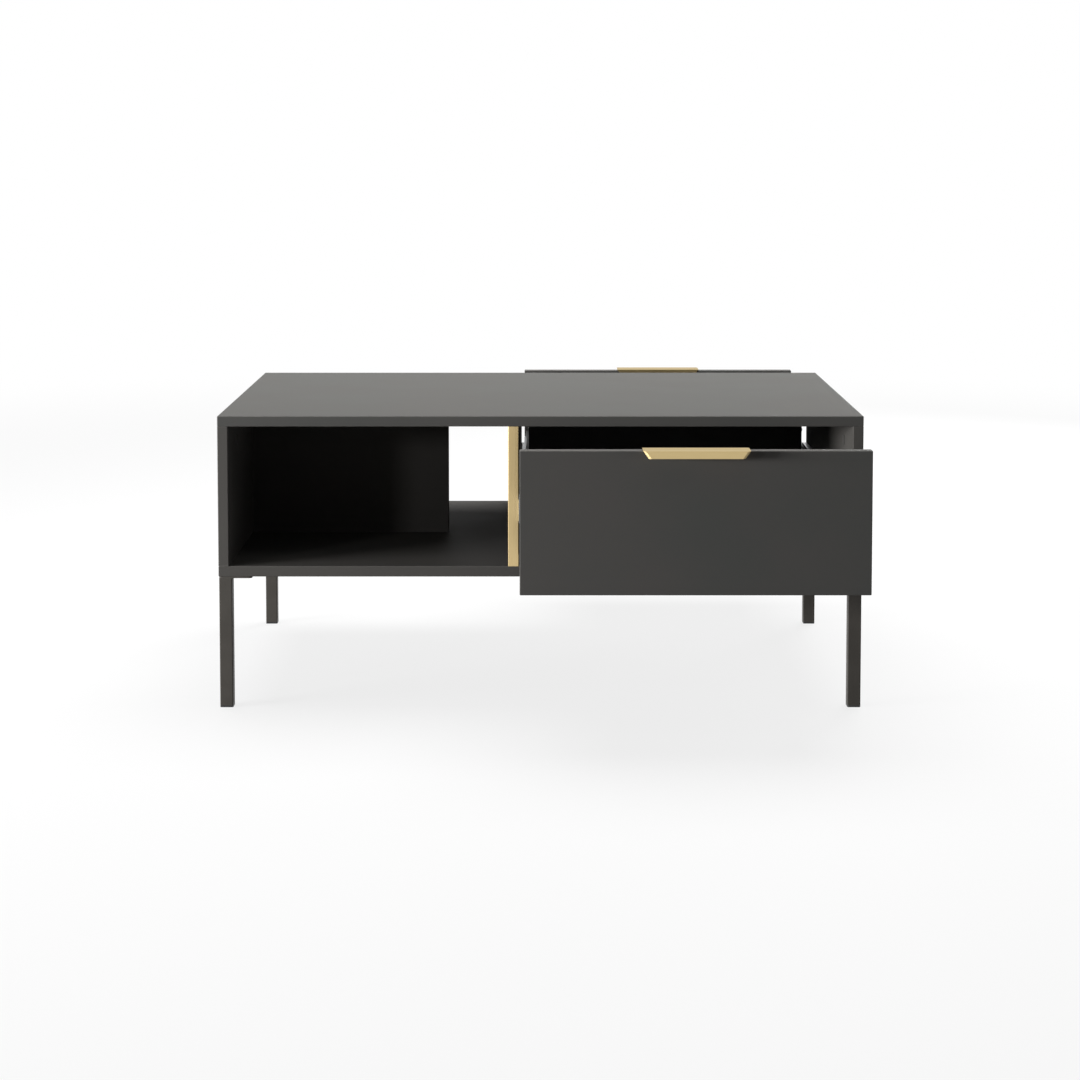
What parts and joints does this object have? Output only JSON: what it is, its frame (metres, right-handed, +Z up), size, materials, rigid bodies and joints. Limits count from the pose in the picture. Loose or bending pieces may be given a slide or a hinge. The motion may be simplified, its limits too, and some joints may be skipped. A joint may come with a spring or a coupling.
{
  "type": "coffee table",
  "caption": "Low rectangular coffee table on square tube legs, with an open see-through niche on the left and opposed drawers on ball-bearing slides on the right.",
  "frame": {"origin": "on the floor under the middle of the table", "axes": "+X towards the drawer end, -Y the front as pictured, +Z up; both drawers stand open"},
  "size_m": [0.98, 1.1, 0.448],
  "materials": {
    "graphite_board": "satin graphite laminate",
    "gold_edging": "satin gold edging",
    "gold_aluminium": "brushed gold anodised",
    "black_drawer_board": "matt black foil",
    "black_hardboard": "matt black foil",
    "graphite_steel": "fine powder coat",
    "black_plastic": "matt",
    "zinc_steel": "zinc plated",
    "cage_plastic": "matt",
    "zinc_fastener": "zinc plated",
    "beech_dowel": "bare beech"
  },
  "bodies": {
    "carcass": {"top_panel": "graphite_board", "bottom_panel": "graphite_board", "left_side_panel": "graphite_board", "right_side_panel": "graphite_board", "divider_panel": "graphite_board", "front_divider_edging": "gold_edging", "rear_divider_edging": "gold_edging", "niche_partition": "graphite_board", "front_left_leg": "graphite_steel", "front_right_leg": "graphite_steel", "rear_left_leg": "graphite_steel", "rear_right_leg": "graphite_steel", "foot_glides": "black_plastic", "leg_screws": "zinc_fastener", "cam_locks": "zinc_fastener", "cam_bolts": "zinc_fastener", "dowels": "beech_dowel", "confirmat_screws": "zinc_fastener", "front_left_cabinet_rail": "zinc_steel", "front_right_cabinet_rail": "zinc_steel", "rear_left_cabinet_rail": "zinc_steel", "rear_right_cabinet_rail": "zinc_steel", "cabinet_rail_screws": "zinc_fastener"},
    "front_drawer": {"front_drawer_front_panel": "graphite_board", "front_drawer_handle": "gold_aluminium", "front_drawer_left_side": "black_drawer_board", "front_drawer_right_side": "black_drawer_board", "front_drawer_back": "black_drawer_board", "front_drawer_bottom": "black_hardboard", "front_drawer_screws": "zinc_fastener", "front_drawer_cam_locks": "zinc_fastener", "front_drawer_cam_bolts": "zinc_fastener", "front_drawer_release_levers": "black_plastic", "front_left_drawer_rail": "zinc_steel", "front_right_drawer_rail": "zinc_steel"},
    "front_left_middle_rail": {"front_left_middle_rail": "zinc_steel"},
    "front_left_outer_cage": {"front_left_outer_ball_cage": "cage_plastic"},
    "front_left_inner_cage": {"front_left_inner_ball_cage": "cage_plastic"},
    "front_right_middle_rail": {"front_right_middle_rail": "zinc_steel"},
    "front_right_outer_cage": {"front_right_outer_ball_cage": "cage_plastic"},
    "front_right_inner_cage": {"front_right_inner_ball_cage": "cage_plastic"},
    "rear_drawer": {"rear_drawer_front_panel": "graphite_board", "rear_drawer_handle": "gold_aluminium", "rear_drawer_left_side": "black_drawer_board", "rear_drawer_right_side": "black_drawer_board", "rear_drawer_back": "black_drawer_board", "rear_drawer_bottom": "black_hardboard", "rear_drawer_screws": "zinc_fastener", "rear_drawer_cam_locks": "zinc_fastener", "rear_drawer_cam_bolts": "zinc_fastener", "rear_drawer_release_levers": "black_plastic", "rear_left_drawer_rail": "zinc_steel", "rear_right_drawer_rail": "zinc_steel"},
    "rear_left_middle_rail": {"rear_left_middle_rail": "zinc_steel"},
    "rear_left_outer_cage": {"rear_left_outer_ball_cage": "cage_plastic"},
    "rear_left_inner_cage": {"rear_left_inner_ball_cage": "cage_plastic"},
    "rear_right_middle_rail": {"rear_right_middle_rail": "zinc_steel"},
    "rear_right_outer_cage": {"rear_right_outer_ball_cage": "cage_plastic"},
    "rear_right_inner_cage": {"rear_right_inner_ball_cage": "cage_plastic"}
  },
  "joints": [
    {"name": "front_drawer_slide", "type": "slide", "parent": "carcass", "child": "front_drawer", "axis": [0, -1, 0], "range_m": [-0.23, 0.02]},
    {"name": "front_left_middle_rail_slide", "type": "slide", "parent": "carcass", "child": "front_left_middle_rail", "axis": [0, -1, 0], "range_m": [-0.115, 0.01]},
    {"name": "front_left_outer_cage_slide", "type": "slide", "parent": "carcass", "child": "front_left_outer_cage", "axis": [0, -1, 0], "range_m": [-0.0575, 0.005]},
    {"name": "front_left_inner_cage_slide", "type": "slide", "parent": "carcass", "child": "front_left_inner_cage", "axis": [0, -1, 0], "range_m": [-0.1725, 0.015]},
    {"name": "front_right_middle_rail_slide", "type": "slide", "parent": "carcass", "child": "front_right_middle_rail", "axis": [0, -1, 0], "range_m": [-0.115, 0.01]},
    {"name": "front_right_outer_cage_slide", "type": "slide", "parent": "carcass", "child": "front_right_outer_cage", "axis": [0, -1, 0], "range_m": [-0.0575, 0.005]},
    {"name": "front_right_inner_cage_slide", "type": "slide", "parent": "carcass", "child": "front_right_inner_cage", "axis": [0, -1, 0], "range_m": [-0.1725, 0.015]},
    {"name": "rear_drawer_slide", "type": "slide", "parent": "carcass", "child": "rear_drawer", "axis": [0, 1, 0], "range_m": [-0.23, 0.02]},
    {"name": "rear_left_middle_rail_slide", "type": "slide", "parent": "carcass", "child": "rear_left_middle_rail", "axis": [0, 1, 0], "range_m": [-0.115, 0.01]},
    {"name": "rear_left_outer_cage_slide", "type": "slide", "parent": "carcass", "child": "rear_left_outer_cage", "axis": [0, 1, 0], "range_m": [-0.0575, 0.005]},
    {"name": "rear_left_inner_cage_slide", "type": "slide", "parent": "carcass", "child": "rear_left_inner_cage", "axis": [0, 1, 0], "range_m": [-0.1725, 0.015]},
    {"name": "rear_right_middle_rail_slide", "type": "slide", "parent": "carcass", "child": "rear_right_middle_rail", "axis": [0, 1, 0], "range_m": [-0.115, 0.01]},
    {"name": "rear_right_outer_cage_slide", "type": "slide", "parent": "carcass", "child": "rear_right_outer_cage", "axis": [0, 1, 0], "range_m": [-0.0575, 0.005]},
    {"name": "rear_right_inner_cage_slide", "type": "slide", "parent": "carcass", "child": "rear_right_inner_cage", "axis": [0, 1, 0], "range_m": [-0.1725, 0.015]}
  ],
  "couplings": [
    {"joint": "front_left_middle_rail_slide", "follows": "front_drawer_slide", "ratio": 0.5},
    {"joint": "front_left_outer_cage_slide", "follows": "front_drawer_slide", "ratio": 0.25},
    {"joint": "front_left_inner_cage_slide", "follows": "front_drawer_slide", "ratio": 0.75},
    {"joint": "front_right_middle_rail_slide", "follows": "front_drawer_slide", "ratio": 0.5},
    {"joint": "front_right_outer_cage_slide", "follows": "front_drawer_slide", "ratio": 0.25},
    {"joint": "front_right_inner_cage_slide", "follows": "front_drawer_slide", "ratio": 0.75},
    {"joint": "rear_left_middle_rail_slide", "follows": "rear_drawer_slide", "ratio": 0.5},
    {"joint": "rear_left_outer_cage_slide", "follows": "rear_drawer_slide", "ratio": 0.25},
    {"joint": "rear_left_inner_cage_slide", "follows": "rear_drawer_slide", "ratio": 0.75},
    {"joint": "rear_right_middle_rail_slide", "follows": "rear_drawer_slide", "ratio": 0.5},
    {"joint": "rear_right_outer_cage_slide", "follows": "rear_drawer_slide", "ratio": 0.25},
    {"joint": "rear_right_inner_cage_slide", "follows": "rear_drawer_slide", "ratio": 0.75}
  ]
}
